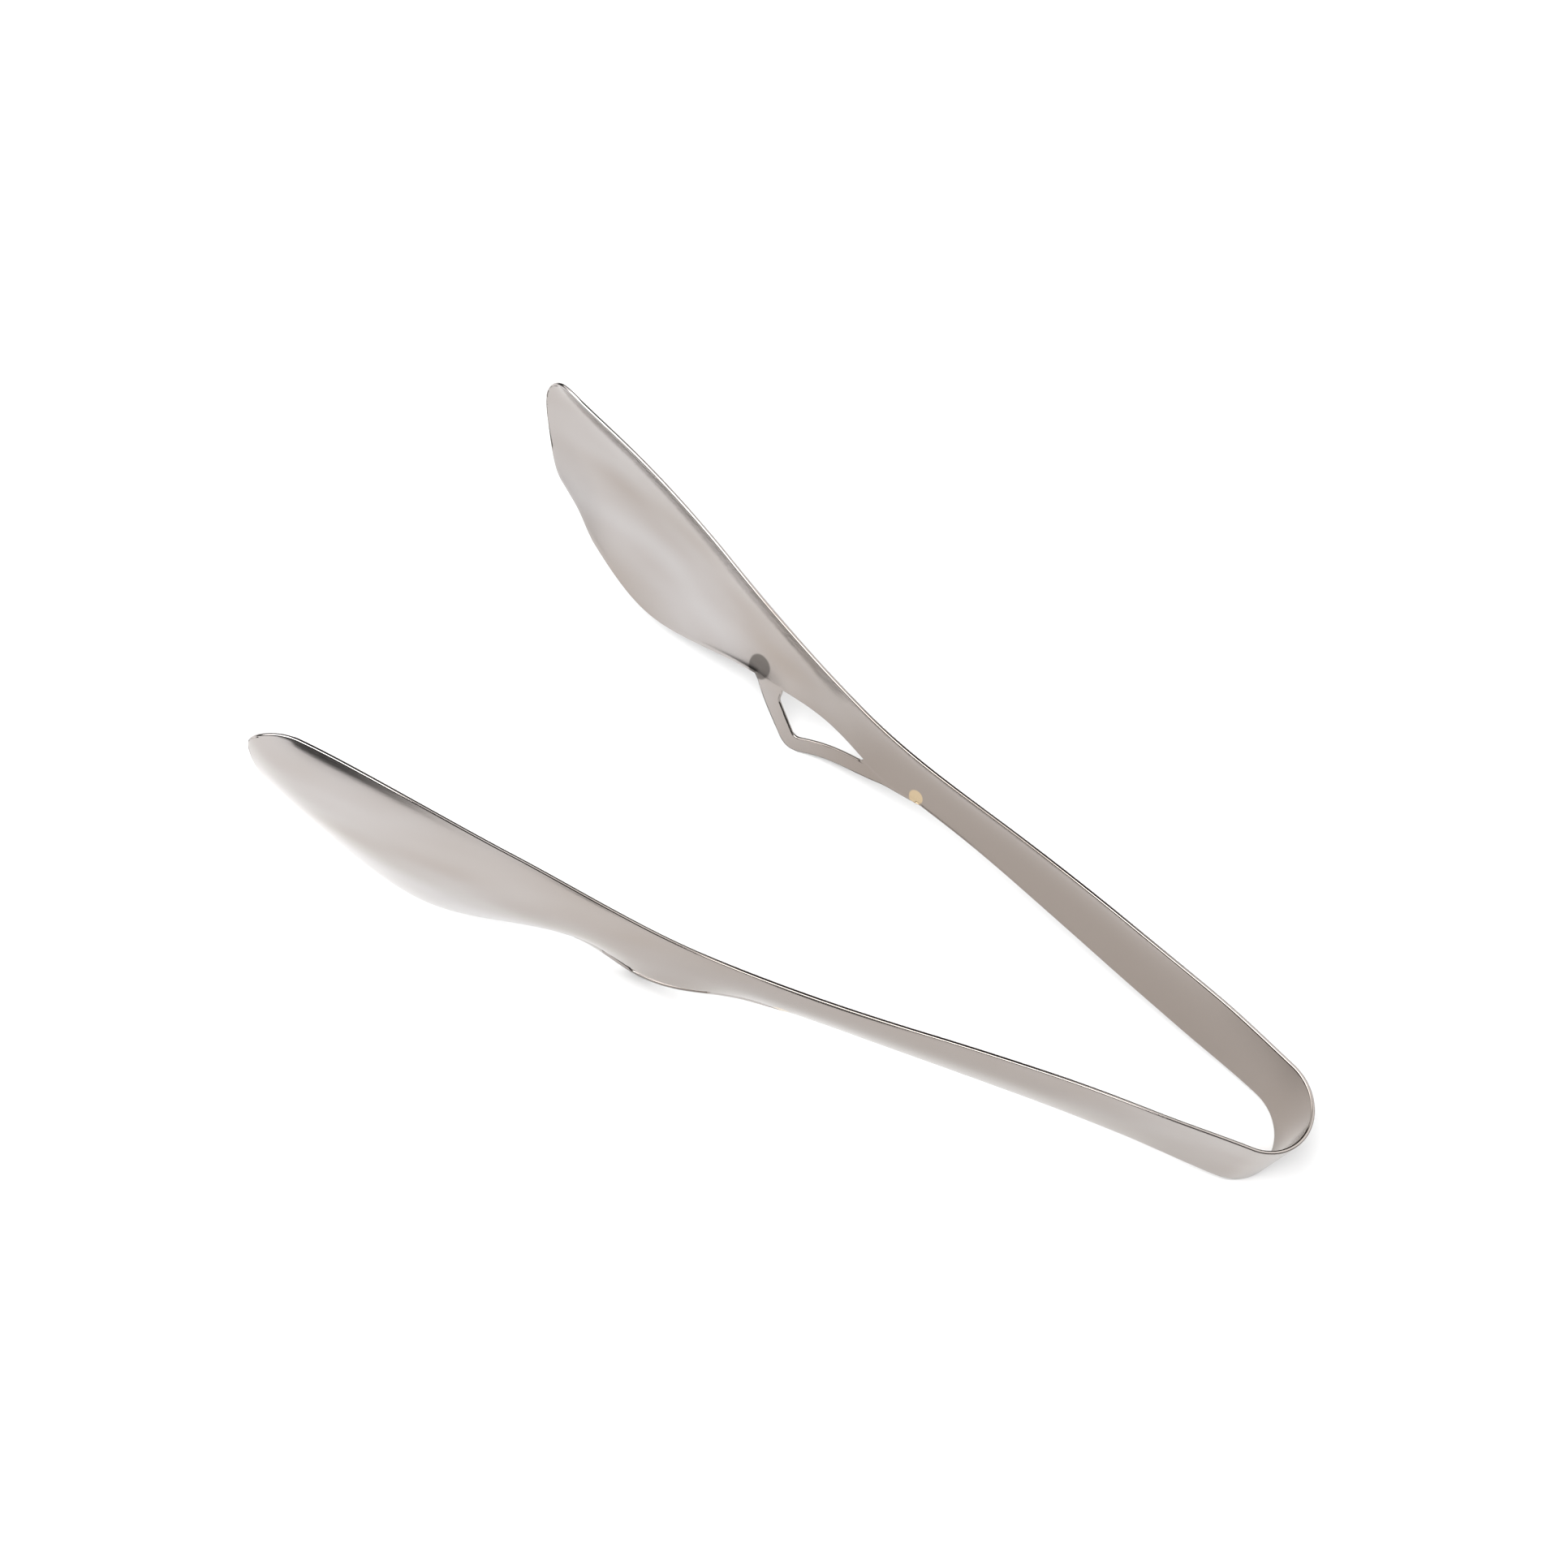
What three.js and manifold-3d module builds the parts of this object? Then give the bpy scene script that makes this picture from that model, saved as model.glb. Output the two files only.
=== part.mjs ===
// Serving tongs pressed from one strip of stainless steel.
//
// The strip is bent into a spring bow. From the bow two straight handles spread apart and widen into
// hollow, leaf-shaped blades. Under each handle a pierced tab is folded inwards as a foot, so that the
// tongs lie on the bow and the two feet, with both blades clear of the table. The right blade has a
// shallow notch in its lower edge.
//
// Millimetres, +Z up. +X runs from the bow to the blade tips, +Y to the left arm. The origin is the
// lowest point of the bow, on the table. Apart from the notch, the two arms mirror each other.
//
// The strip is laid out in arm coordinates: s runs along an arm from the end of the bow, and h is the
// height along the axis that the bow is bent about. That axis leans by LEAN from the vertical.
import * as THREE from 'three';
import { mergeVertices } from 'three/addons/utils/BufferGeometryUtils.js';
import Module from 'manifold-3d';

const wasm = await Module();
wasm.setup();

const degrees = (angle) => THREE.MathUtils.degToRad(angle);

// ---- driving dimensions ----
const SHEET = 0.8; // thickness of the steel
const GAP = 0.3; // clearance between neighbouring zones of the strip
const LEAN = degrees(10.15); // the bow's axis against the vertical
const DRESSING = 0.1; // how far the lowest edges are ground flat

const BOW_RADIUS = 10.2; // of the middle of the sheet
const HANDLE_ANGLE = degrees(12.5); // half of the opening between the handles

const ARM_LENGTH = 203;
const NECK = 136; // where a handle becomes a blade
const CURL_START = 150; // from here on a blade curls inwards
const TIP_ANGLE = degrees(5); // direction of the tip
const TIP_LENGTH = 9; // the rounded end of a blade
const TIP_HEIGHT = 16;
const TIP_CROWDING = 1.8; // draws the blade's sections towards its round end

// The strip's two long edges, as height h at distance s. Each point is a place on the tongs.
const UPPER_EDGE = [
  [0, 17.5], // the bow, the full height of the strip
  [60, 12], // the grip, where the thumb presses
  [108, 5.5], // the waist, the lowest place of this edge
  [150, 14.5], // the blade's shoulder
  [180, 21.5], // the widest part of the blade
  [205, 24], // the tip
];
const LOWER_EDGE = [
  [0, 0], // the bow
  [60, -2.5], // the grip
  [90, -6], // where the foot's strap begins
  [115, -10.5], // the web over the foot's window
  [136, -12], // the neck
  [165, -24.5], // the blade's belly
  [185, -14], // the rise to the tip
  [205, 4], // the tip
];

// The notch in the right blade's lower edge: steep towards the neck, fading out towards the tip.
const NOTCH_START = 182.5;
const NOTCH_BOTTOM = 189;
const NOTCH_END = 204;
const NOTCH_DEPTH = 1;

// How far the middle of a section stands outside its edges.
const HANDLE_HOLLOW = 0.8;
const BLADE_HOLLOW = 3.6;
const BLADE_SHARE = 0.4; // the share of the blade's extra hollow that its middle stands out by
const HOLLOW_FADE = 30; // the blade's hollow runs out over this length before the tip
const LOWER_EDGE_LEAN = 1; // the lower edge lies this much further in than the upper one
const WEB_BULGE = 2.5; // how far the lower edge of the web bulges outwards over the foot's window
const WEB_CENTRE = 116;
const WEB_REACH = 20;
const WAIST_PINCH = 0.8; // how far the arms are drawn together at the waist
const WAIST_CENTRE = 110;
const WAIST_REACH = 45;

// The foot is a bent strap around a window, folded inwards below the web. Each outline leaves the web's
// edge at the first s, turns at the rounded corners and comes back to the edge at the last s.
const FOOT_FOLD = degrees(21);
const STRAP_REAR = 89;
const STRAP_CORNERS = [
  { at: [97.5, -9], radius: 20 },
  { at: [120.5, -23.5], radius: 5 },
];
const STRAP_FRONT = 135;
const WINDOW_REAR = 105;
const WINDOW_CORNERS = [
  { at: [105.5, -10.5], radius: 0.3 },
  { at: [120.5, -19.5], radius: 2 },
  { at: [127.5, -13.5], radius: 2 },
];
const WINDOW_FRONT = 128;

// ---- curves ----

/** A curve through the points that keeps its curvature smooth: level at its start, relaxed at its end. */
function smoothCurve(points) {
  const last = points.length - 1;
  const step = points.slice(1).map(([x], i) => x - points[i][0]);
  const slope = points.slice(1).map(([, y], i) => (y - points[i][1]) / step[i]);
  const bend = new Array(last + 1).fill(0);
  const diagonal = [2 * step[0]];
  const right = [6 * slope[0]];
  for (let i = 1; i < last; i += 1) {
    const weight = step[i - 1] / diagonal[i - 1];
    diagonal[i] = 2 * (step[i - 1] + step[i]) - weight * step[i - 1];
    right[i] = 6 * (slope[i] - slope[i - 1]) - weight * right[i - 1];
  }
  for (let i = last - 1; i >= 0; i -= 1) {
    bend[i] = (right[i] - step[i] * bend[i + 1]) / diagonal[i];
  }
  return (x) => {
    let i = 0;
    while (i < last - 1 && x > points[i + 1][0]) i += 1;
    const a = (points[i + 1][0] - x) / step[i];
    const b = 1 - a;
    const straight = a * points[i][1] + b * points[i + 1][1];
    return straight + ((a ** 3 - a) * bend[i] + (b ** 3 - b) * bend[i + 1]) * step[i] ** 2 / 6;
  };
}

const upperEdge = smoothCurve(UPPER_EDGE);
const lowerEdge = smoothCurve(LOWER_EDGE);
const ramp = (s, start, end) => THREE.MathUtils.smoothstep(s, start, end);

/** Half-width factor that rounds off the end of the blade: 1 before the tip, 0 at its very end. */
function tipRounding(s) {
  const t = THREE.MathUtils.clamp((s - ARM_LENGTH + TIP_LENGTH) / TIP_LENGTH, 0, 1);
  return Math.sqrt(1 - t * t);
}

const topAt = (s) => THREE.MathUtils.lerp(TIP_HEIGHT, upperEdge(Math.max(s, 0)), tipRounding(s));
const bottomAt = (s) => THREE.MathUtils.lerp(TIP_HEIGHT, lowerEdge(Math.max(s, 0)), tipRounding(s));

/** The middle line of the left arm seen along the bow's axis; s is negative on the bow. */
const BOW_SWEEP = Math.PI / 2 - HANDLE_ANGLE;
const BOW_ARC = BOW_RADIUS * BOW_SWEEP;
const CURL_RATE = (HANDLE_ANGLE - TIP_ANGLE) / (ARM_LENGTH - CURL_START);

function spineAt(s) {
  if (s < 0) {
    const swept = (s + BOW_ARC) / BOW_RADIUS;
    return {
      x: BOW_RADIUS * (1 - Math.cos(swept)),
      y: BOW_RADIUS * Math.sin(swept),
      heading: Math.PI / 2 - swept,
    };
  }
  const straight = Math.min(s, CURL_START);
  const heading = HANDLE_ANGLE - CURL_RATE * Math.max(s - CURL_START, 0);
  const curlX = (Math.sin(HANDLE_ANGLE) - Math.sin(heading)) / CURL_RATE;
  const curlY = (Math.cos(heading) - Math.cos(HANDLE_ANGLE)) / CURL_RATE;
  return {
    x: BOW_RADIUS * (1 - Math.cos(BOW_SWEEP)) + straight * Math.cos(HANDLE_ANGLE) + curlX,
    y: BOW_RADIUS * Math.sin(BOW_SWEEP) + straight * Math.sin(HANDLE_ANGLE) + curlY,
    heading,
  };
}

/** A smooth hump along the strip: 1 at its centre, 0 beyond its reach. */
function hump(s, centre, reach) {
  const away = THREE.MathUtils.clamp(Math.abs(s - centre) / reach, 0, 1);
  return Math.cos(away * Math.PI / 2) ** 2;
}

/** How far the sheet lies inside its middle line at height h. */
function insetAt(s, h) {
  const top = upperEdge(Math.max(s, 0));
  const bottom = lowerEdge(Math.max(s, 0));
  const across = THREE.MathUtils.clamp((2 * h - top - bottom) / (top - bottom), -1, 1);
  const nearTip = THREE.MathUtils.clamp((s - ARM_LENGTH + HOLLOW_FADE) / HOLLOW_FADE, 0, 1);
  const deepening = (BLADE_HOLLOW - HANDLE_HOLLOW) * ramp(s, 110, 150) * (1 - nearTip ** 4);
  const hollow = HANDLE_HOLLOW * ramp(s, 0, 40) * across ** 2 + deepening * (across ** 2 - BLADE_SHARE);
  const bulge = WEB_BULGE * hump(s, WEB_CENTRE, WEB_REACH);
  const pinch = WAIST_PINCH * hump(s, WAIST_CENTRE, WAIST_REACH);
  const towardsHem = (1 - across) / 2;
  const edgeLean = LOWER_EDGE_LEAN * ramp(s, 0, 20);
  const fold = Math.max(bottom - h, 0) * Math.tan(FOOT_FOLD);
  return hollow - edgeLean * across / 2 - bulge * towardsHem ** 2 + pinch + fold;
}

/** The middle of the sheet at (s, h) on the left arm. */
function sheetPoint(s, h) {
  const { x, y, heading } = spineAt(s);
  const inset = insetAt(s, h);
  return new THREE.Vector3(x + Math.sin(heading) * inset, y - Math.cos(heading) * inset, h);
}

/** The same point moved by `offset` out of the sheet, positive towards the outside of the tongs. */
function facePoint(s, h, offset) {
  const probe = 0.05;
  const along = sheetPoint(s + probe, h).sub(sheetPoint(s - probe, h));
  const up = sheetPoint(s, h + probe).sub(sheetPoint(s, h - probe));
  return sheetPoint(s, h).addScaledVector(up.cross(along).normalize(), offset);
}

// ---- solids ----

/** Welds the corners, drops triangles without area and returns the closed mesh as a solid. */
function solidOf(geometry) {
  const bare = geometry.clone();
  bare.deleteAttribute('normal');
  bare.deleteAttribute('uv');
  const welded = mergeVertices(bare, 1e-4);
  const corners = welded.index.array;
  const kept = [];
  for (let i = 0; i < corners.length; i += 3) {
    const [a, b, c] = corners.subarray(i, i + 3);
    if (a !== b && b !== c && c !== a) kept.push(a, b, c);
  }
  return new wasm.Manifold(new wasm.Mesh({
    numProp: 3,
    vertProperties: new Float32Array(welded.attributes.position.array),
    triVerts: new Uint32Array(kept),
  }));
}

function geometryOf(solid) {
  const mesh = solid.getMesh();
  const geometry = new THREE.BufferGeometry();
  geometry.setAttribute('position', new THREE.BufferAttribute(mesh.vertProperties, 3));
  geometry.setIndex(new THREE.BufferAttribute(mesh.triVerts, 1));
  const faceted = geometry.toNonIndexed();
  faceted.computeVertexNormals();
  return faceted;
}

/** A strip of sheet as a closed body. rows[i][j] is the [s, h] of column j at station i. */
function stripGeometry(rows) {
  const stations = rows.length;
  const columns = rows[0].length;
  const positions = [];
  for (const offset of [SHEET / 2, -SHEET / 2]) {
    for (const row of rows) {
      for (const [s, h] of row) positions.push(...facePoint(s, h, offset).toArray());
    }
  }
  const outer = (i, j) => i * columns + j;
  const inner = (i, j) => stations * columns + outer(i, j);
  const index = [];
  const quad = (a, b, c, d) => index.push(a, b, c, a, c, d);
  for (let i = 0; i + 1 < stations; i += 1) {
    for (let j = 0; j + 1 < columns; j += 1) {
      quad(outer(i, j), outer(i, j + 1), outer(i + 1, j + 1), outer(i + 1, j));
      quad(inner(i, j), inner(i + 1, j), inner(i + 1, j + 1), inner(i, j + 1));
    }
    const top = columns - 1;
    quad(outer(i, 0), outer(i + 1, 0), inner(i + 1, 0), inner(i, 0));
    quad(outer(i, top), inner(i, top), inner(i + 1, top), outer(i + 1, top));
  }
  const end = stations - 1;
  for (let j = 0; j + 1 < columns; j += 1) {
    quad(outer(0, j), inner(0, j), inner(0, j + 1), outer(0, j + 1));
    quad(outer(end, j), outer(end, j + 1), inner(end, j + 1), inner(end, j));
  }
  const geometry = new THREE.BufferGeometry();
  geometry.setAttribute('position', new THREE.Float32BufferAttribute(positions, 3));
  geometry.setIndex(index);
  return geometry;
}

/** Rows of [s, h] from one edge of the strip to the other. Crowding over 1 draws stations to the end. */
function stripRows(start, end, stations, columns, crowding = 1, lowerLimit = bottomAt) {
  const rows = [];
  for (let i = 0; i <= stations; i += 1) {
    const s = THREE.MathUtils.lerp(start, end, 1 - (1 - i / stations) ** crowding);
    const row = [];
    for (let j = 0; j <= columns; j += 1) {
      row.push([s, THREE.MathUtils.lerp(lowerLimit(s), topAt(s), j / columns)]);
    }
    rows.push(row);
  }
  return rows;
}

/** The right blade's lower edge. */
function notchedBottomAt(s) {
  const notch = ramp(s, NOTCH_START, NOTCH_BOTTOM) * (1 - ramp(s, NOTCH_BOTTOM, NOTCH_END));
  return bottomAt(s) + NOTCH_DEPTH * notch * tipRounding(s);
}

/** Draws the path on to the end point, round the corners on the way. */
function roundCorners(path, corners, end) {
  corners.forEach(({ at, radius }, i) => {
    const corner = new THREE.Vector2(...at);
    const next = new THREE.Vector2(...(i + 1 < corners.length ? corners[i + 1].at : end));
    const back = path.currentPoint.clone().sub(corner).normalize();
    const ahead = next.sub(corner).normalize();
    const setback = radius / Math.tan(Math.acos(back.dot(ahead)) / 2);
    const arcStart = corner.clone().addScaledVector(back, setback);
    const arcEnd = corner.clone().addScaledVector(ahead, setback);
    path.lineTo(arcStart.x, arcStart.y);
    path.quadraticCurveTo(corner.x, corner.y, arcEnd.x, arcEnd.y);
  });
  path.lineTo(...end);
}

/** The outline of the foot's strap in (s, h), a little below the edge of the web. */
function strapOutline() {
  const hem = (s) => [s, bottomAt(s) - GAP];
  const hemSteps = 4;
  const outline = new THREE.Shape();
  outline.moveTo(...hem(STRAP_REAR));
  roundCorners(outline, STRAP_CORNERS, hem(STRAP_FRONT));
  for (let i = 1; i <= hemSteps; i += 1) {
    outline.lineTo(...hem(THREE.MathUtils.lerp(STRAP_FRONT, WINDOW_FRONT, i / hemSteps)));
  }
  roundCorners(outline, [...WINDOW_CORNERS].reverse(), hem(WINDOW_REAR));
  for (let i = 1; i < hemSteps; i += 1) {
    outline.lineTo(...hem(THREE.MathUtils.lerp(WINDOW_REAR, STRAP_REAR, i / hemSteps)));
  }
  return outline;
}

function footGeometry() {
  const geometry = new THREE.ExtrudeGeometry(strapOutline(), {
    depth: SHEET, steps: 1, bevelEnabled: false, curveSegments: 6,
  });
  const corner = geometry.attributes.position;
  for (let i = 0; i < corner.count; i += 1) {
    const point = facePoint(corner.getX(i), corner.getY(i), SHEET / 2 - corner.getZ(i));
    corner.setXYZ(i, point.x, point.y, point.z);
  }
  return geometry;
}

/** Reverses every triangle, which a mirrored body needs. */
function flipped(geometry) {
  const turned = geometry.index ? geometry.toNonIndexed() : geometry.clone();
  const corner = turned.attributes.position;
  for (let i = 0; i < corner.count; i += 3) {
    const [a, c] = [i, i + 2].map((k) => new THREE.Vector3().fromBufferAttribute(corner, k));
    corner.setXYZ(i, c.x, c.y, c.z);
    corner.setXYZ(i + 2, a.x, a.y, a.z);
  }
  return turned;
}

/** Leans a body as the tongs rest and grinds off what would reach below the table. */
function onTable(geometry) {
  const placed = geometry.clone().rotateY(-LEAN).translate(0, 0, -DRESSING);
  const size = 4 * ARM_LENGTH;
  const below = new THREE.BoxGeometry(size, size, size).translate(0, 0, -size / 2);
  return geometryOf(solidOf(placed).subtract(solidOf(below)));
}

// ---- the assembly ----
const steel = (colour) => new THREE.MeshStandardMaterial({ color: colour, roughness: 0.3, metalness: 1 });

const tongs = new THREE.Group();

function addPiece(name, geometry, colour) {
  const piece = new THREE.Mesh(onTable(geometry), steel(colour));
  piece.name = name;
  tongs.add(piece);
}

/** The bow runs through both sides, so its right half mirrors the left half's stations. */
function bowGeometry() {
  const steps = 14;
  const columns = 3;
  const left = stripRows(-BOW_ARC, 0, steps, columns);
  const halfGeometry = stripGeometry(left);
  const half = solidOf(halfGeometry);
  const otherHalf = solidOf(flipped(halfGeometry.clone().scale(1, -1, 1)));
  return geometryOf(half.add(otherHalf));
}

addPiece('spring_bow', bowGeometry(), 0xbdb6b0);

for (const [side, mirror, bladeBottomAt] of [['left', 1, bottomAt], ['right', -1, notchedBottomAt]]) {
  const handed = (geometry) => (mirror > 0 ? geometry : flipped(geometry.clone().scale(1, mirror, 1)));
  const handle = stripGeometry(stripRows(GAP, NECK - GAP, 36, 6));
  const blade = stripGeometry(stripRows(NECK, ARM_LENGTH, 28, 10, TIP_CROWDING, bladeBottomAt));
  addPiece(`${side}_handle`, handed(handle), 0xc2bbb5);
  addPiece(`${side}_blade`, handed(blade), 0xc7c1bb);
  addPiece(`${side}_rest_foot`, handed(footGeometry()), 0xb8b0a9);
}

export default tongs;
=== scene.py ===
import math

import bpy
import numpy as np
from mathutils import Matrix, Vector


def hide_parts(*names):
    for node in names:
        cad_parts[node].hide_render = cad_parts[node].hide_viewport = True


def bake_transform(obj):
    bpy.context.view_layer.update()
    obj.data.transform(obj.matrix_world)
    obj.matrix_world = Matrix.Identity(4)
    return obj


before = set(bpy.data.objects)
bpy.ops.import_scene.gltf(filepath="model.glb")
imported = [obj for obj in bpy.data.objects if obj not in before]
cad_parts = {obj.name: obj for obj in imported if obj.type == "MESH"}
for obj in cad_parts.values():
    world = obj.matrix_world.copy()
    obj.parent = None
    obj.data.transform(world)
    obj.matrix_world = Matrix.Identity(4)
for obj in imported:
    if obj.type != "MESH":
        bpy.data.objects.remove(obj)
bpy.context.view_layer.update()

MM = 0.001

# ---- the strip's driving dimensions, in millimetres, as in the CAD model ----
SHEET = 0.8
LEAN = math.radians(10.15)
DRESSING = 0.1
BOW_RADIUS = 10.2
HANDLE_ANGLE = math.radians(12.5)
ARM_LENGTH = 203
CURL_START = 150
TIP_ANGLE = math.radians(5)
TIP_LENGTH = 9
TIP_HEIGHT = 16

# Each point is a place on the tongs, as distance s and height h.
UPPER_EDGE = [
    (0, 17.5),  # the bow, the full height of the strip
    (60, 12),  # the grip, where the thumb presses
    (108, 5.5),  # the waist, the lowest place of this edge
    (150, 14.5),  # the blade's shoulder
    (180, 21.5),  # the widest part of the blade
    (205, 24),  # the tip
]
LOWER_EDGE = [
    (0, 0),  # the bow
    (60, -2.5),  # the grip
    (90, -6),  # where the foot's strap begins
    (115, -10.5),  # the web over the foot's window
    (136, -12),  # the neck
    (165, -24.5),  # the blade's belly
    (185, -14),  # the rise to the tip
    (205, 4),  # the tip
]

NOTCH_START = 182.5
NOTCH_BOTTOM = 189
NOTCH_END = 204
NOTCH_DEPTH = 1

HANDLE_HOLLOW = 0.8
BLADE_HOLLOW = 3.6
BLADE_SHARE = 0.4
HOLLOW_FADE = 30
HOLLOW_FADE_POWER = 4
LOWER_EDGE_LEAN = 1
WEB_BULGE = 2.5
WEB_CENTRE = 116
WEB_REACH = 20
WAIST_PINCH = 0.8
WAIST_CENTRE = 110
WAIST_REACH = 45
# Stretches of the strip, as start and end, over which these shapes set in.
HOLLOW_SETS_IN = (0, 40)
BLADE_DEEPENS = (110, 150)
EDGE_LEAN_SETS_IN = (0, 20)
HANDLE_ROLL_SETS_IN = (10, 40)
BLADE_ROLL_SETS_IN = (140, 175)

FOOT_FOLD = math.radians(21)
FOLD_LENGTH = 1.6  # how far below the arm's edge the fold is complete
STRAP_REAR = 89
STRAP_CORNERS = [((97.5, -9), 20), ((120.5, -23.5), 5)]  # place and radius
STRAP_FRONT = 135
WINDOW_REAR = 105
WINDOW_CORNERS = [((105.5, -10.5), 0.3), ((120.5, -19.5), 2), ((127.5, -13.5), 2)]
WINDOW_FRONT = 128

# Small dents that folding the foot leaves where its strap joins the arm: place, radius and depth.
ROOT_DENTS = [((135, -9.8), 2.6, 0.12), ((91, -5), 2.2, 0.12)]
# The upper margin rolls over further than the rest of a section, most of all on the blade.
MARGIN = 9  # how far below the upper edge the roll begins
HANDLE_ROLL = 0.4
BLADE_ROLL = 1.7
ROLL_FADE_POWER = 6
ROLL_SHARE = 0.9  # the section first bows out by this share of the roll, so that its edge hardly moves

# ---- fineness of the mesh ----
BOW_STEPS = 90
HANDLE_STEPS = 97
ROOT_STEPS = 20
WEB_STEPS = 32
BLADE_STEPS = 72
TIP_STEPS = 26
COLUMNS = 36
CORNER_STEPS = 10
REAR_STEPS = 60
FRONT_STEPS = 36
FOOT_APEX = 1  # the corner of each outline that the two halves of the strap meet at
EDGE_ROUNDING = 0.3
EDGE_STEPS = 4
NORMAL_PROBE = 0.05  # distance over which the sheet's slope is taken
PLACE_DIGITS = 5  # points of the flat cut that agree to this many digits are the same point
APEX_TOLERANCE = 1e-6  # how near to the plane y = 0 counts as in it


# ---- the strip's shape ----

def smooth_curve(points):
    """A cubic curve through the points, level at its start and relaxed at its end."""
    x, y = (np.array(axis, float) for axis in zip(*points))
    step = np.diff(x)
    slope = np.diff(y) / step
    last = len(step)
    bend = np.zeros(last + 1)
    diagonal = [2 * step[0]]
    right = [6 * slope[0]]
    for i in range(1, last):
        weight = step[i - 1] / diagonal[i - 1]
        diagonal.append(2 * (step[i - 1] + step[i]) - weight * step[i - 1])
        right.append(6 * (slope[i] - slope[i - 1]) - weight * right[i - 1])
    for i in range(last - 1, -1, -1):
        bend[i] = (right[i] - step[i] * bend[i + 1]) / diagonal[i]

    def curve(at):
        i = np.clip(np.searchsorted(x, at, side="left") - 1, 0, last - 1)
        a = (x[i + 1] - at) / step[i]
        b = 1 - a
        bent = (a**3 - a) * bend[i] + (b**3 - b) * bend[i + 1]
        return a * y[i] + b * y[i + 1] + bent * step[i] ** 2 / 6

    return curve


upper_edge = smooth_curve(UPPER_EDGE)
lower_edge = smooth_curve(LOWER_EDGE)


def ramp(at, start, end):
    """0 before start, 1 after end, smooth in between."""
    t = np.clip((at - start) / (end - start), 0, 1)
    return t * t * (3 - 2 * t)


def tip_rounding(s):
    """Half-width factor that rounds off the end of the blade."""
    t = np.clip((s - ARM_LENGTH + TIP_LENGTH) / TIP_LENGTH, 0, 1)
    return np.sqrt(1 - t * t)


def top_at(s):
    return TIP_HEIGHT + (upper_edge(np.maximum(s, 0)) - TIP_HEIGHT) * tip_rounding(s)


def bottom_at(s):
    return TIP_HEIGHT + (lower_edge(np.maximum(s, 0)) - TIP_HEIGHT) * tip_rounding(s)


def notched_bottom_at(s):
    """The right blade's lower edge."""
    notch = ramp(s, NOTCH_START, NOTCH_BOTTOM) * (1 - ramp(s, NOTCH_BOTTOM, NOTCH_END))
    return bottom_at(s) + NOTCH_DEPTH * notch * tip_rounding(s)


BOW_SWEEP = math.pi / 2 - HANDLE_ANGLE
BOW_ARC = BOW_RADIUS * BOW_SWEEP
CURL_RATE = (HANDLE_ANGLE - TIP_ANGLE) / (ARM_LENGTH - CURL_START)
BOW_END = (BOW_RADIUS * (1 - math.cos(BOW_SWEEP)), BOW_RADIUS * math.sin(BOW_SWEEP))


def spine_at(s):
    """The left arm's middle line seen along the bow's axis: x, y and heading."""
    swept = (s + BOW_ARC) / BOW_RADIUS
    straight = np.minimum(s, CURL_START)
    heading = HANDLE_ANGLE - CURL_RATE * np.maximum(s - CURL_START, 0)
    curl_x = (math.sin(HANDLE_ANGLE) - np.sin(heading)) / CURL_RATE
    curl_y = (np.cos(heading) - math.cos(HANDLE_ANGLE)) / CURL_RATE
    arm_x = BOW_END[0] + straight * math.cos(HANDLE_ANGLE) + curl_x
    arm_y = BOW_END[1] + straight * math.sin(HANDLE_ANGLE) + curl_y
    on_bow = s < 0
    return (
        np.where(on_bow, BOW_RADIUS * (1 - np.cos(swept)), arm_x),
        np.where(on_bow, BOW_RADIUS * np.sin(swept), arm_y),
        np.where(on_bow, math.pi / 2 - swept, heading),
    )


def hump(s, centre, reach):
    """A smooth hump along the strip: 1 at its centre, 0 beyond its reach."""
    away = np.clip(np.abs(s - centre) / reach, 0, 1)
    return np.cos(away * math.pi / 2) ** 2


def inset_at(s, h):
    """How far the sheet lies inside its middle line."""
    top = upper_edge(np.maximum(s, 0))
    bottom = lower_edge(np.maximum(s, 0))
    across = np.clip((2 * h - top - bottom) / (top - bottom), -1, 1)
    near_tip = np.clip((s - ARM_LENGTH + HOLLOW_FADE) / HOLLOW_FADE, 0, 1)
    deepening = (BLADE_HOLLOW - HANDLE_HOLLOW) * ramp(s, *BLADE_DEEPENS) * (1 - near_tip**HOLLOW_FADE_POWER)
    hollow = HANDLE_HOLLOW * ramp(s, *HOLLOW_SETS_IN) * across**2 + deepening * (across**2 - BLADE_SHARE)
    bulge = WEB_BULGE * hump(s, WEB_CENTRE, WEB_REACH)
    pinch = WAIST_PINCH * hump(s, WAIST_CENTRE, WAIST_REACH)
    towards_hem = (1 - across) / 2
    edge_lean = LOWER_EDGE_LEAN * ramp(s, *EDGE_LEAN_SETS_IN)
    below = np.maximum(bottom - h, 0)
    turning = np.minimum(below, FOLD_LENGTH)
    folded = below - turning + turning**2 / (2 * FOLD_LENGTH)
    inset = hollow - edge_lean * across / 2 - bulge * towards_hem**2
    inset = inset + pinch + folded * math.tan(FOOT_FOLD)
    for (dent_s, dent_h), radius, depth in ROOT_DENTS:
        inset = inset - depth * np.exp(-((s - dent_s) ** 2 + (h - dent_h) ** 2) / radius**2)
    margin = np.clip(1 - (top - h) / MARGIN, 0, 1)
    roll = HANDLE_ROLL * ramp(s, *HANDLE_ROLL_SETS_IN)
    roll = roll + (BLADE_ROLL - HANDLE_ROLL) * ramp(s, *BLADE_ROLL_SETS_IN)
    bowed_out = ROLL_SHARE * (1 - towards_hem)
    return inset + roll * (margin**2 - bowed_out) * (1 - near_tip**ROLL_FADE_POWER)


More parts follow.
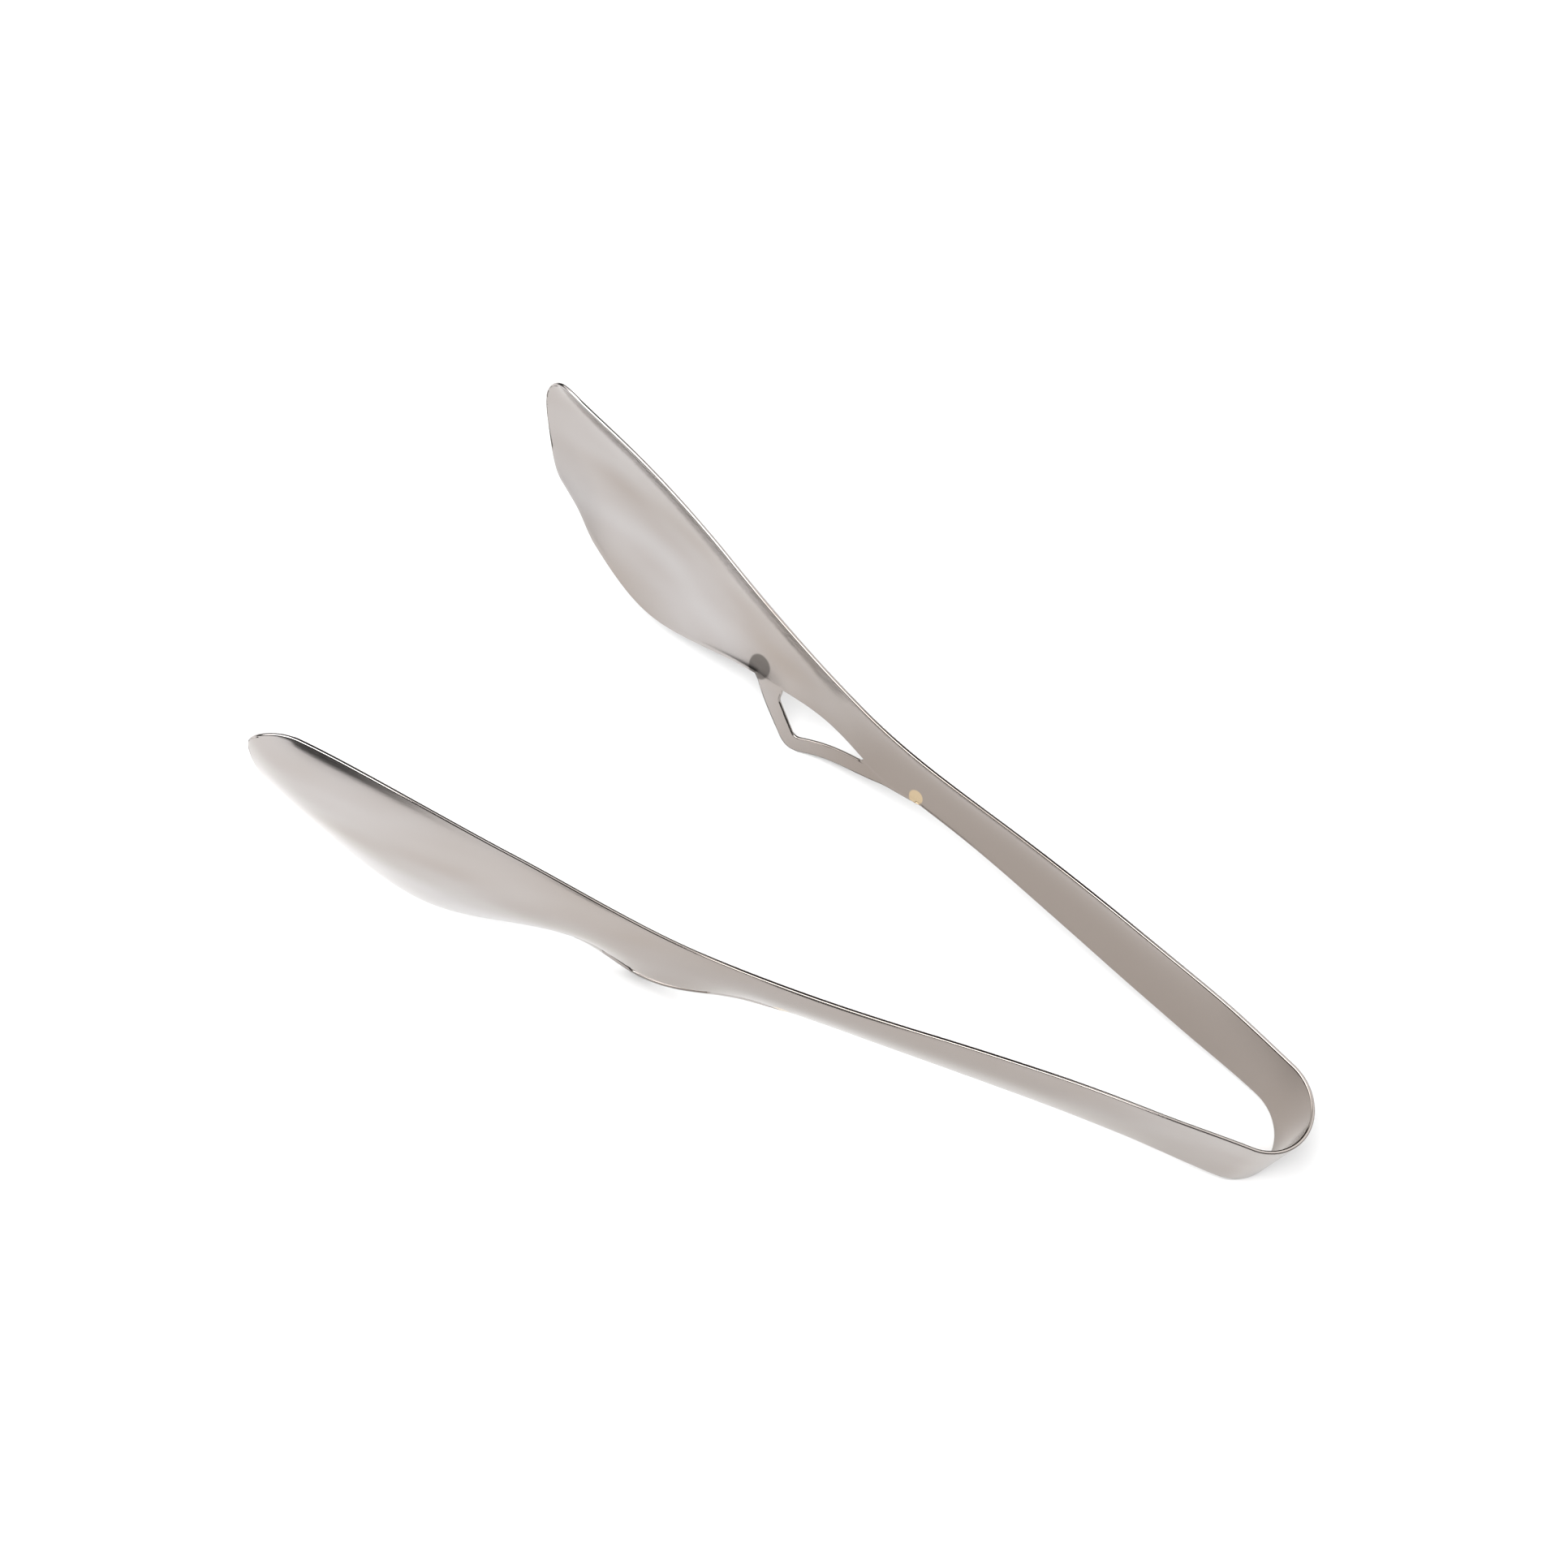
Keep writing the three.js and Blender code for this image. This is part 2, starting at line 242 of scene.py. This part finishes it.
def sheet_point(s, h):
    x, y, heading = spine_at(s)
    inset = inset_at(s, h)
    return np.stack([x + np.sin(heading) * inset, y - np.cos(heading) * inset, h + 0 * x], axis=-1)


def sheet_normal(s, h):
    """Unit normal of the sheet, towards the outside of the tongs."""
    along = sheet_point(s + NORMAL_PROBE, h) - sheet_point(s - NORMAL_PROBE, h)
    up = sheet_point(s, h + NORMAL_PROBE) - sheet_point(s, h - NORMAL_PROBE)
    normal = np.cross(up, along)
    return normal / np.linalg.norm(normal, axis=-1, keepdims=True)


# ---- the flat cut of one arm: points (s, h) and the quads between them ----

def spread(start, end, steps):
    return list(np.linspace(start, end, steps + 1))


def stations():
    tip_start = ARM_LENGTH - TIP_LENGTH
    turn = np.linspace(0, math.pi / 2, TIP_STEPS + 1)
    runs = [
        spread(-BOW_ARC, 0, BOW_STEPS),
        spread(0, STRAP_REAR, HANDLE_STEPS),
        spread(STRAP_REAR, WINDOW_REAR, ROOT_STEPS),
        spread(WINDOW_REAR, WINDOW_FRONT, WEB_STEPS),
        spread(WINDOW_FRONT, STRAP_FRONT, ROOT_STEPS),
        spread(STRAP_FRONT, tip_start, BLADE_STEPS),
        list(tip_start + TIP_LENGTH * np.sin(turn)),
    ]
    return runs[0] + [s for run in runs[1:] for s in run[1:]]


def rounded_path(start, corners, end):
    """Points from start to end round the corners, and the index of the middle of the apex corner."""
    places = [np.array(p, float) for p in [start] + [place for place, _ in corners] + [end]]
    path = [places[0]]
    apex = 0
    for i, (_, radius) in enumerate(corners):
        before, corner, after = places[i : i + 3]
        back = (before - corner) / np.linalg.norm(before - corner)
        ahead = (after - corner) / np.linalg.norm(after - corner)
        setback = radius / math.tan(math.acos(back @ ahead) / 2)
        a = corner + back * setback
        b = corner + ahead * setback
        if i == FOOT_APEX:
            apex = len(path) + CORNER_STEPS // 2
        path += [
            (1 - t) ** 2 * a + 2 * t * (1 - t) * corner + t * t * b
            for t in np.linspace(0, 1, CORNER_STEPS + 1)
        ]
    path.append(places[-1])
    return np.array(path), apex


def resampled(path, steps):
    """The same path in equal steps."""
    run = np.concatenate([[0], np.cumsum(np.linalg.norm(np.diff(path, axis=0), axis=1))])
    at = np.linspace(0, run[-1], steps + 1)
    return np.stack([np.interp(at, run, path[:, k]) for k in (0, 1)], axis=1)


def strap_edge(start, corners, end):
    """One outline of the strap, with as many points before its apex corner as the other outline."""
    path, apex = rounded_path(start, corners, end)
    rear = resampled(path[: apex + 1], REAR_STEPS)
    front = resampled(path[apex:], FRONT_STEPS)
    return np.concatenate([rear, front[1:]])


class FlatCut:
    """Points and quads of the sheet before it has a thickness. Points are shared by their place."""

    def __init__(self):
        self.points = []
        self.quads = []
        self.found = {}

    def point(self, s, h):
        key = (round(s, PLACE_DIGITS), round(h, PLACE_DIGITS))
        if key not in self.found:
            self.found[key] = len(self.points)
            self.points.append((s, h))
        return self.found[key]

    def grid(self, rows):
        """Quads between neighbouring rows of points; a quad that has shrunk to a triangle stays one."""
        ids = [[self.point(s, h) for s, h in row] for row in rows]
        for near, far in zip(ids, ids[1:]):
            for j in range(len(near) - 1):
                ring = [near[j], near[j + 1], far[j + 1], far[j]]
                ring = [p for k, p in enumerate(ring) if p != ring[k - 1]]
                if len(ring) > 2:
                    self.quads.append(ring)


def cut_of_arm(lower_limit):
    cut = FlatCut()
    rows = []
    for s in stations():
        low = float(lower_limit(np.array(s)))
        high = float(top_at(np.array(s)))
        rows.append([(s, low + (high - low) * j / COLUMNS) for j in range(COLUMNS + 1)])
    cut.grid(rows)

    def hem(s):
        return (s, float(lower_limit(np.array(s))))

    outer = strap_edge(hem(STRAP_REAR), STRAP_CORNERS, hem(STRAP_FRONT))
    inner = strap_edge(hem(WINDOW_REAR), WINDOW_CORNERS, hem(WINDOW_FRONT))
    strap = [
        [tuple(o + (i - o) * k / ROOT_STEPS) for k in range(ROOT_STEPS + 1)]
        for o, i in zip(outer, inner)
    ]
    strap[0] = [hem(s) for s in spread(STRAP_REAR, WINDOW_REAR, ROOT_STEPS)]
    strap[-1] = [hem(s) for s in spread(WINDOW_FRONT, STRAP_FRONT, ROOT_STEPS)][::-1]
    cut.grid(strap)
    return cut


# ---- from the flat cut to a sheet with a thickness and rounded edges ----

def rim_profile():
    """Around an edge, outer face to inner: how far back from the cut, and height over the middle."""
    turn = np.linspace(0, math.pi / 2, EDGE_STEPS + 1)
    corner = [
        (-EDGE_ROUNDING * (1 - math.sin(a)), SHEET / 2 - EDGE_ROUNDING * (1 - math.cos(a)))
        for a in turn
    ]
    return corner + [(back, -height) for back, height in reversed(corner)]


def sides_of(cut):
    """Each side of each quad, in the direction that the quad is walked round. A dict keeps their order."""
    return {(a, b): True for quad in cut.quads for a, b in zip(quad, quad[1:] + quad[:1])}


def sheet_faces(cut, sides, following, apex, rim, face):
    """The outer and inner face of the sheet, the rounded edges between them and the caps at the apex."""
    faces = []
    for quad in cut.quads:
        faces.append([face[1][p] for p in quad])
        faces.append([face[-1][p] for p in reversed(quad)])
    for a, b in following.items():
        for k in range(len(rim[a]) - 1):
            faces.append([rim[b][k], rim[a][k], rim[a][k + 1], rim[b][k + 1]])
    for a, b in sides:
        if apex[a] and apex[b]:
            faces.append([face[1][b], face[1][a], face[-1][a], face[-1][b]])
    for p in sorted(rim):
        if apex[p]:
            faces.append(rim[p][::-1] if p in following else rim[p])
    return faces


def on_table(verts):
    """The points in metres, leaned back onto the bow and the feet, with the contacts dressed flat."""
    cos, sin = math.cos(LEAN), math.sin(LEAN)
    x, y, z = verts.T
    height = np.maximum(z * cos + x * sin - DRESSING, 0)
    return np.stack([x * cos - z * sin, y, height], axis=-1) * MM


def sheet_object(name, verts, faces, where):
    mesh = bpy.data.meshes.new(name)
    mesh.from_pydata(verts.tolist(), [], faces)
    mesh.update()
    for column, attribute in enumerate(("along", "across", "edge", "inside")):
        data = mesh.attributes.new(attribute, "FLOAT", "POINT").data
        data.foreach_set("value", np.array(where, np.float32)[:, column])
    mesh.validate()
    mesh.shade_smooth()
    # The sheets meet in the plane y = 0, so the caps there keep out of the smooth shading.
    at_apex = [abs(vertex.co.y) < APEX_TOLERANCE for vertex in mesh.vertices]
    for mesh_edge in mesh.edges:
        first, second = mesh_edge.vertices
        mesh_edge.use_edge_sharp = at_apex[first] and at_apex[second]
    piece = bpy.data.objects.new(name, mesh)
    bpy.context.scene.collection.objects.link(piece)
    return piece


def arm_sheet(name, mirror, lower_limit):
    """One arm. Each point also records its place on the strip, its nearness to a cut edge and its face."""
    cut = cut_of_arm(lower_limit)
    s, h = np.array(cut.points).T
    middle = sheet_point(s, h)
    normal = sheet_normal(s, h)
    apex = s < -BOW_ARC + APEX_TOLERANCE
    sides = sides_of(cut)
    following = {a: b for a, b in sides if (b, a) not in sides and not (apex[a] and apex[b])}
    preceding = {b: a for a, b in following.items()}

    profile = rim_profile()
    last = len(profile) - 1
    verts = []
    where = []
    rim = {}
    face = {1: {}, -1: {}}

    def add(position, p, edge, inside):
        verts.append(position)
        where.append((s[p], h[p], edge, inside))
        return len(verts) - 1

    for p in sorted(set(following) | set(preceding)):
        ahead = middle[following.get(p, p)] - middle[preceding.get(p, p)]
        if apex[p]:
            ahead[0] = ahead[2] = 0
        outwards = np.cross(ahead, normal[p])
        outwards /= np.linalg.norm(outwards)
        rim[p] = []
        for k, (back, height) in enumerate(profile):
            on_cut = 1.0 if 0 < k < last else 0.5
            rim[p].append(add(middle[p] + outwards * back + normal[p] * height, p, on_cut, k / last))
        face[1][p] = rim[p][0]
        face[-1][p] = rim[p][-1]
    for p in range(len(middle)):
        if p not in rim:
            face[1][p] = add(middle[p] + normal[p] * SHEET / 2, p, 0, 0)
            face[-1][p] = add(middle[p] - normal[p] * SHEET / 2, p, 0, 1)

    faces = sheet_faces(cut, sides, following, apex, rim, face)
    verts = np.array(verts)
    if mirror < 0:
        verts[:, 1] *= -1
        faces = [f[::-1] for f in faces]
    return sheet_object(name, on_table(verts), faces, where)


# ---- materials ----
STEEL_WARM = (0.31, 0.27, 0.24, 1)
STEEL_COOL = (0.44, 0.42, 0.415, 1)
# A darker steel colour, painted on as shade.
STEEL_PAINTED_SHADE = (0.26, 0.225, 0.2, 1)
# Colours of the painted reflection spots: dark grey at the neck, tan at the strap's rear root.
PAINTED_REFLECTION_GREY = (0.12, 0.108, 0.1, 1)
PAINTED_REFLECTION_TAN = (0.62, 0.47, 0.27, 1)
# Painted shade: the bow and handles are coloured darker on the inside, all the way round the bow, and on
# the outside along the handles.
PAINTED_SHADE_START = (0, 60)
PAINTED_SHADE_END = (100, 135)
OUTSIDE_PAINTED_SHADE = 0.6
INSIDE_PAINTED_SHADE = 0.95
# Painted reflections, a dark spot at the neck and a tan spot at the rear root of the strap: place on the
# strip and radius.
NECK_PAINTED_REFLECTION = ((135, -9.8), 2.7)
NECK_PAINTED_REFLECTION_STRENGTH = 0.9
REAR_PAINTED_REFLECTION = ((91, -5), 1.7)
REAR_PAINTED_REFLECTION_STRENGTH = 0.6
PAINTED_REFLECTION_RIM = (0.9, 1.1)  # where a painted reflection's soft rim starts and ends, in radii

ANISOTROPY = 0.35
# Noise over the strip: scale along it, scale across it, and detail.
BRUSHING = (0.05, 9, 4)
SMUDGES = (0.018, 0.05, 2)
SMUDGE_TONES = (-0.6, 1.6)  # spreads the smudges' noise between the warm and the cool steel
SMUDGE_ROUGHNESS = (0.1, 0.18)
BRUSHING_ROUGHNESS = (0, 0.1)
EDGE_POLISH = 0.05  # how much smoother the cut edges are
BRUSHING_STRENGTH = 0.25
BRUSHING_DEPTH = 0.00002  # metres

FLOOR_COLOUR = (0.86, 0.86, 0.86, 1)
FLOOR_ROUGHNESS = 0.9


def steel_material():
    """Satin steel: fine brushing along the strip, faint smudges, painted shade on the bow and handles, two
    painted reflection spots and smoother cut edges.
    """
    material = bpy.data.materials.new("satin_stainless_steel")
    material.use_nodes = True
    tree = material.node_tree
    shader = tree.nodes["Principled BSDF"]
    shader.inputs["Metallic"].default_value = 1
    shader.inputs["Anisotropic"].default_value = ANISOTROPY

    def attribute(name):
        node = tree.nodes.new("ShaderNodeAttribute")
        node.attribute_name = name
        return node.outputs["Fac"]

    def maths(operation, a, b):
        node = tree.nodes.new("ShaderNodeMath")
        node.operation = operation
        for socket, value in zip(node.inputs, (a, b)):
            if isinstance(value, (int, float)):
                socket.default_value = value
            else:
                tree.links.new(value, socket)
        return node.outputs["Value"]

    def strip_noise(along_scale, across_scale, detail):
        place = tree.nodes.new("ShaderNodeCombineXYZ")
        tree.links.new(maths("MULTIPLY", along, along_scale), place.inputs["X"])
        tree.links.new(maths("MULTIPLY", across, across_scale), place.inputs["Y"])
        noise = tree.nodes.new("ShaderNodeTexNoise")
        noise.inputs["Scale"].default_value = 1
        noise.inputs["Detail"].default_value = detail
        tree.links.new(place.outputs["Vector"], noise.inputs["Vector"])
        return noise.outputs["Fac"]

    def between(factor, low, high):
        node = tree.nodes.new("ShaderNodeMapRange")
        node.inputs["To Min"].default_value = low
        node.inputs["To Max"].default_value = high
        tree.links.new(factor, node.inputs["Value"])
        return node.outputs["Result"]

    def mixed(factor, a, b):
        node = tree.nodes.new("ShaderNodeMix")
        node.data_type = "RGBA"
        tree.links.new(factor, node.inputs["Factor"])
        for socket, colour in ((node.inputs["A"], a), (node.inputs["B"], b)):
            if isinstance(colour, tuple):
                socket.default_value = colour
            else:
                tree.links.new(colour, socket)
        return node.outputs["Result"]

    def ramped(value, start, end):
        """0 before start, 1 after end, smooth in between."""
        node = tree.nodes.new("ShaderNodeMapRange")
        node.interpolation_type = "SMOOTHSTEP"
        node.inputs["From Min"].default_value = start
        node.inputs["From Max"].default_value = end
        tree.links.new(value, node.inputs["Value"])
        return node.outputs["Result"]

    def painted_reflection_spot(place, radius):
        """1 inside a round painted reflection on the strip and 0 outside, with a soft rim."""
        off_along = maths("SUBTRACT", along, place[0])
        off_across = maths("SUBTRACT", across, place[1])
        along_squared = maths("MULTIPLY", off_along, off_along)
        across_squared = maths("MULTIPLY", off_across, off_across)
        distance = maths("SQRT", maths("ADD", along_squared, across_squared), 0)
        rim_start, rim_end = (radius * share for share in PAINTED_REFLECTION_RIM)
        return maths("SUBTRACT", 1, ramped(distance, rim_start, rim_end))

    along = attribute("along")
    across = attribute("across")
    edge = attribute("edge")
    brushing = strip_noise(*BRUSHING)
    smudges = strip_noise(*SMUDGES)

    inside = attribute("inside")
    # Painted shade: darker colour on the inside faces and along the outside of the handles.
    shade_zone = maths("MAXIMUM", inside, ramped(along, *PAINTED_SHADE_START))
    shade_zone = maths("MULTIPLY", shade_zone, maths("SUBTRACT", 1, ramped(along, *PAINTED_SHADE_END)))
    painted_shade = maths("MULTIPLY", shade_zone, between(inside, OUTSIDE_PAINTED_SHADE, INSIDE_PAINTED_SHADE))
    colour = mixed(between(smudges, *SMUDGE_TONES), STEEL_WARM, STEEL_COOL)
    colour = mixed(painted_shade, colour, STEEL_PAINTED_SHADE)
    # Painted reflections: a dark spot at the neck and a tan spot at the strap's rear root.
    colour = mixed(maths("MULTIPLY", painted_reflection_spot(*NECK_PAINTED_REFLECTION), NECK_PAINTED_REFLECTION_STRENGTH), colour, PAINTED_REFLECTION_GREY)
    colour = mixed(maths("MULTIPLY", painted_reflection_spot(*REAR_PAINTED_REFLECTION), REAR_PAINTED_REFLECTION_STRENGTH), colour, PAINTED_REFLECTION_TAN)
    tree.links.new(colour, shader.inputs["Base Color"])

    smudged = between(smudges, *SMUDGE_ROUGHNESS)
    brushed = between(brushing, *BRUSHING_ROUGHNESS)
    polish = maths("MULTIPLY", edge, EDGE_POLISH)
    roughness = maths("SUBTRACT", maths("ADD", smudged, brushed), polish)
    tree.links.new(roughness, shader.inputs["Roughness"])

    bump = tree.nodes.new("ShaderNodeBump")
    bump.inputs["Strength"].default_value = BRUSHING_STRENGTH
    bump.inputs["Distance"].default_value = BRUSHING_DEPTH
    tree.links.new(brushing, bump.inputs["Height"])
    tree.links.new(bump.outputs["Normal"], shader.inputs["Normal"])
    return material


def floor_material():
    material = bpy.data.materials.new("pale_floor")
    material.use_nodes = True
    shader = material.node_tree.nodes["Principled BSDF"]
    shader.inputs["Base Color"].default_value = FLOOR_COLOUR
    shader.inputs["Roughness"].default_value = FLOOR_ROUGHNESS
    return material


# ---- the tongs ----
steel = steel_material()
for side, mirror, lower_limit in (("left", 1, bottom_at), ("right", -1, notched_bottom_at)):
    sheet = arm_sheet(f"{side}_arm_sheet", mirror, lower_limit)
    sheet.data.materials.append(steel)
    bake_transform(sheet)
    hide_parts(f"{side}_handle", f"{side}_blade", f"{side}_rest_foot", "spring_bow")

# ---- floor, light and camera ----
FLOOR_SIZE = 6.0
FLOOR_GAP = 0.00005
WORLD_STRENGTH = 0.07
# Soft lights: name, azimuth and elevation in degrees, distance and size in metres, power in watts.
LIGHTS = [
    ("left_light", 120, 42, 1.2, 0.9, 5.5),
    ("tip_light", 92, 48, 0.7, 0.7, 2.6),
    ("rear_light", 314, 48, 1.2, 1, 6),
    ("high_light", 180, 70, 1.2, 0.8, 14),
]


def add_floor():
    half = FLOOR_SIZE / 2
    mesh = bpy.data.meshes.new("floor")
    corners = [(-half, -half), (half, -half), (half, half), (-half, half)]
    mesh.from_pydata([(x, y, -FLOOR_GAP) for x, y in corners], [], [(0, 1, 2, 3)])
    mesh.materials.append(floor_material())
    floor = bpy.data.objects.new("floor", mesh)
    bpy.context.scene.collection.objects.link(floor)


def direction(azimuth, elevation):
    """Unit vector from the tongs: azimuth 0 looks from -Y, 90 from +X."""
    a, e = math.radians(azimuth), math.radians(elevation)
    return Vector((math.sin(a) * math.cos(e), -math.cos(a) * math.cos(e), math.sin(e)))


def add_area_light(name, azimuth, elevation, distance, size, power):
    """A square soft light that looks at the tongs."""
    light = bpy.data.lights.new(name, "AREA")
    light.shape = "SQUARE"
    light.size = size
    light.energy = power
    lamp = bpy.data.objects.new(name, light)
    towards = direction(azimuth, elevation)
    lamp.location = towards * distance
    lamp.rotation_mode = "QUATERNION"
    lamp.rotation_quaternion = (-towards).to_track_quat("-Z", "Y")
    bpy.context.scene.collection.objects.link(lamp)


def add_world(strength):
    world = bpy.data.worlds.new("studio")
    world.use_nodes = True
    background = world.node_tree.nodes["Background"]
    background.inputs["Color"].default_value = (1, 1, 1, 1)
    background.inputs["Strength"].default_value = strength
    bpy.context.scene.world = world


# The photo's camera, a least-squares solution that was rounded.
CAMERA_TARGET = (0.1196, -0.0119, 0.02)
CAMERA_AZIMUTH = 203.67
CAMERA_ELEVATION = 58.8
CAMERA_DISTANCE = 0.4447
CAMERA_ROLL = 7.15
CAMERA_LENS = 50.08
SENSOR_WIDTH = 36
CLIP_START = 0.01


def add_camera():
    data = bpy.data.cameras.new("camera")
    data.lens = CAMERA_LENS
    data.sensor_width = SENSOR_WIDTH
    data.clip_start = CLIP_START
    camera = bpy.data.objects.new("camera", data)
    back = direction(CAMERA_AZIMUTH, CAMERA_ELEVATION)
    level = (-back).to_track_quat("-Z", "Y").to_matrix()
    roll = Matrix.Rotation(math.radians(CAMERA_ROLL), 3, "Z")
    camera.location = Vector(CAMERA_TARGET) + back * CAMERA_DISTANCE
    camera.rotation_mode = "QUATERNION"
    camera.rotation_quaternion = (level @ roll).to_quaternion()
    bpy.context.scene.collection.objects.link(camera)
    bpy.context.scene.camera = camera


add_floor()
for light in LIGHTS:
    add_area_light(*light)
add_world(WORLD_STRENGTH)
add_camera()
bpy.context.scene.view_settings.view_transform = "Standard"
